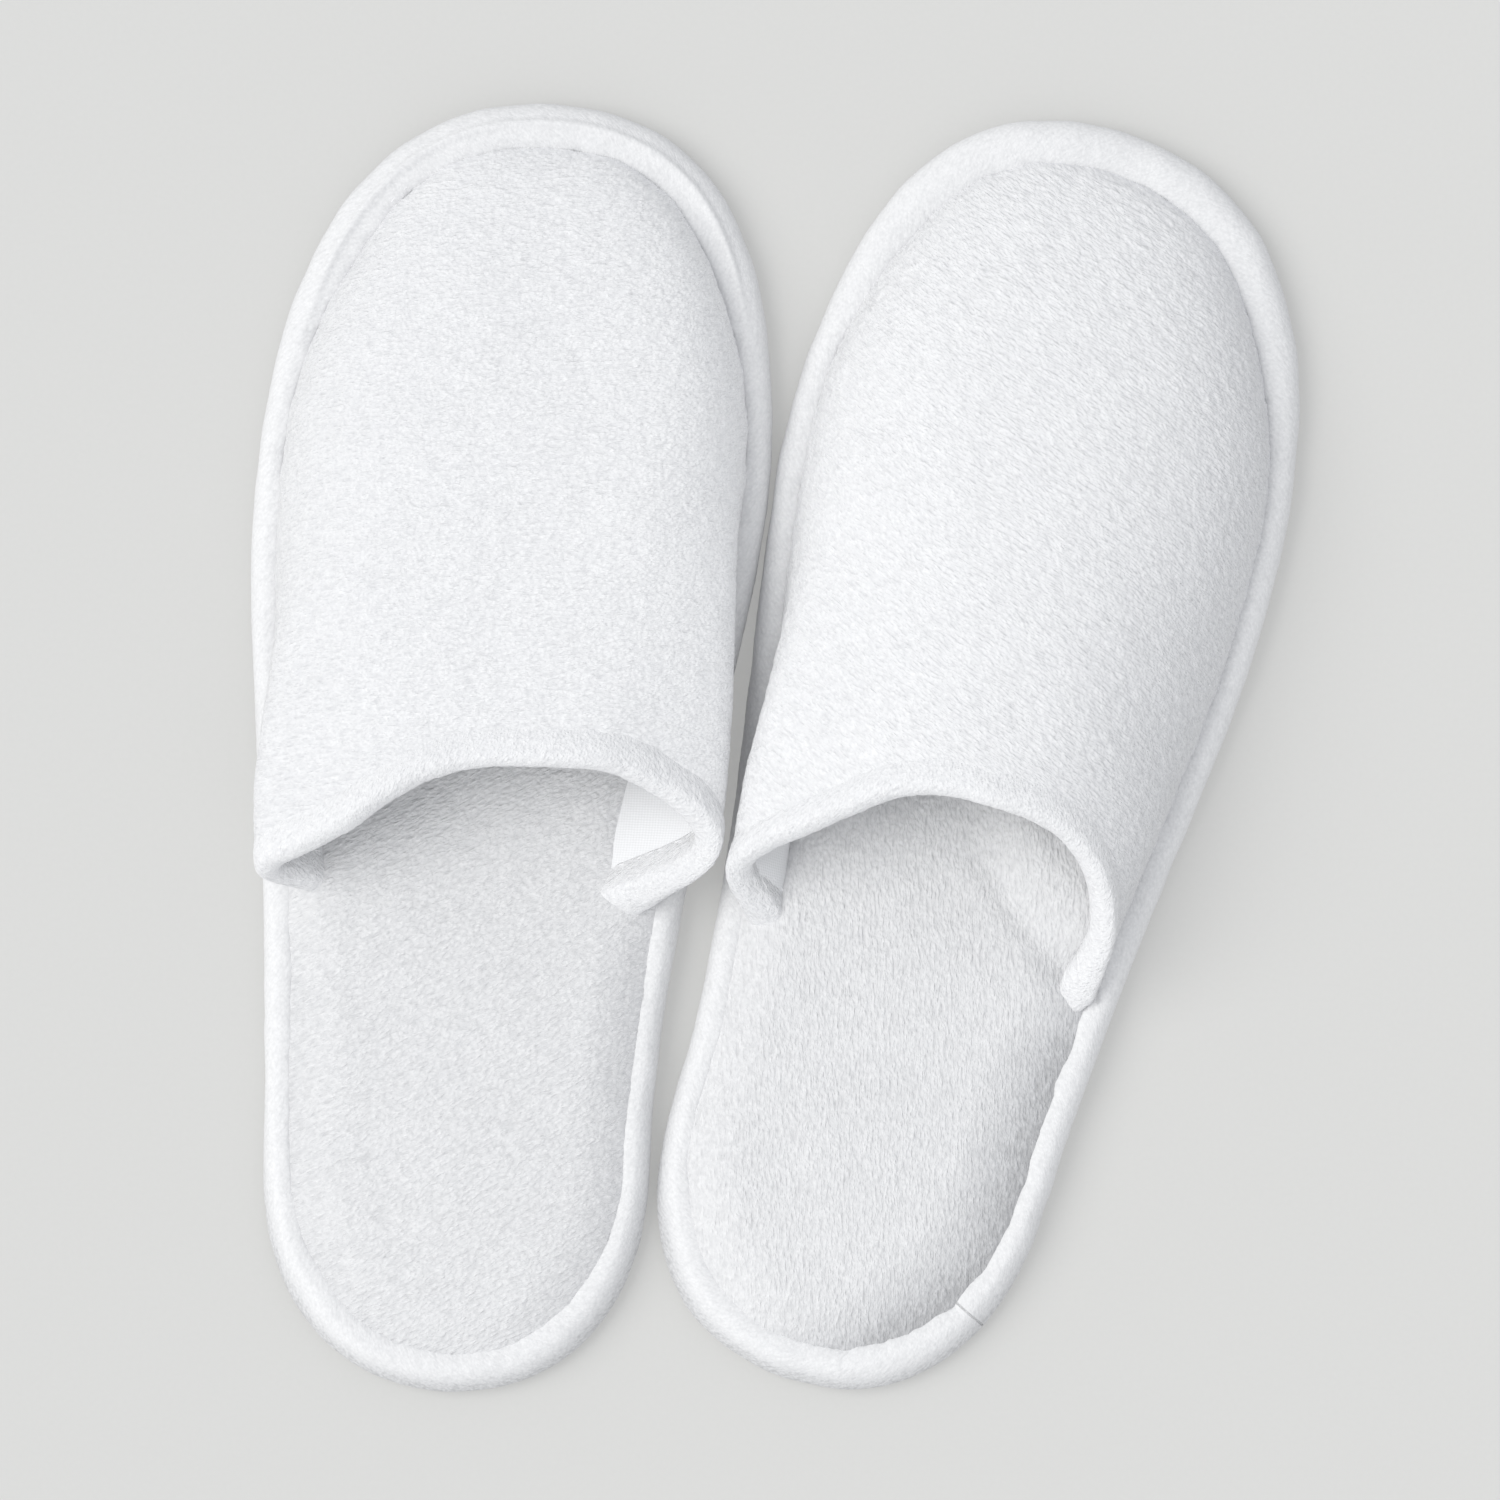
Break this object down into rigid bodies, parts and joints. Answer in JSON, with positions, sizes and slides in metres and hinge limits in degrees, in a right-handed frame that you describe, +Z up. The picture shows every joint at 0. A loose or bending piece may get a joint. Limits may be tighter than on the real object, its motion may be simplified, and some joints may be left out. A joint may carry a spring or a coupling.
{
  "type": "spa slippers",
  "caption": "Pair of flat closed-toe spa slippers in white plush: bound sole, padded insole and domed vamp with a rolled opening edge.",
  "frame": {"origin": "on the ground at the middle of the pair's bounding box", "axes": "+X from the left slipper to the right one, +Y towards the toes, +Z up"},
  "size_m": [0.2334, 0.2865, 0.0444],
  "materials": {
    "eva_sole": "closed-cell foam sheet, matt, with a fine embossed grip",
    "felt_board": "needled board, matt",
    "soft_foam": "open-cell foam, matt",
    "plush_insole": "short white terry plush",
    "plush_tape": "brushed white fleece tape",
    "plush_vamp": "dense white coral fleece",
    "knit_lining": "smooth white knit",
    "thread": "white sewing thread"
  },
  "bodies": {
    "left_slipper": {"left_outsole": "eva_sole", "left_insole_board": "felt_board", "left_insole_foam": "soft_foam", "left_insole_cover": "plush_insole", "left_edge_binding": "plush_tape", "left_sole_seam": "thread", "left_vamp_outer": "plush_vamp", "left_vamp_foam": "soft_foam", "left_vamp_lining": "knit_lining", "left_opening_hem": "plush_vamp", "left_hem_seam": "thread"},
    "right_slipper": {"right_outsole": "eva_sole", "right_insole_board": "felt_board", "right_insole_foam": "soft_foam", "right_insole_cover": "plush_insole", "right_edge_binding": "plush_tape", "right_sole_seam": "thread", "right_vamp_outer": "plush_vamp", "right_vamp_foam": "soft_foam", "right_vamp_lining": "knit_lining", "right_opening_hem": "plush_vamp", "right_hem_seam": "thread"}
  },
  "joints": [
    {"name": "slippers_apart", "type": "slide", "parent": "left_slipper", "child": "right_slipper", "axis": [1, 0, 0], "range_m": [0, 0.15]}
  ]
}
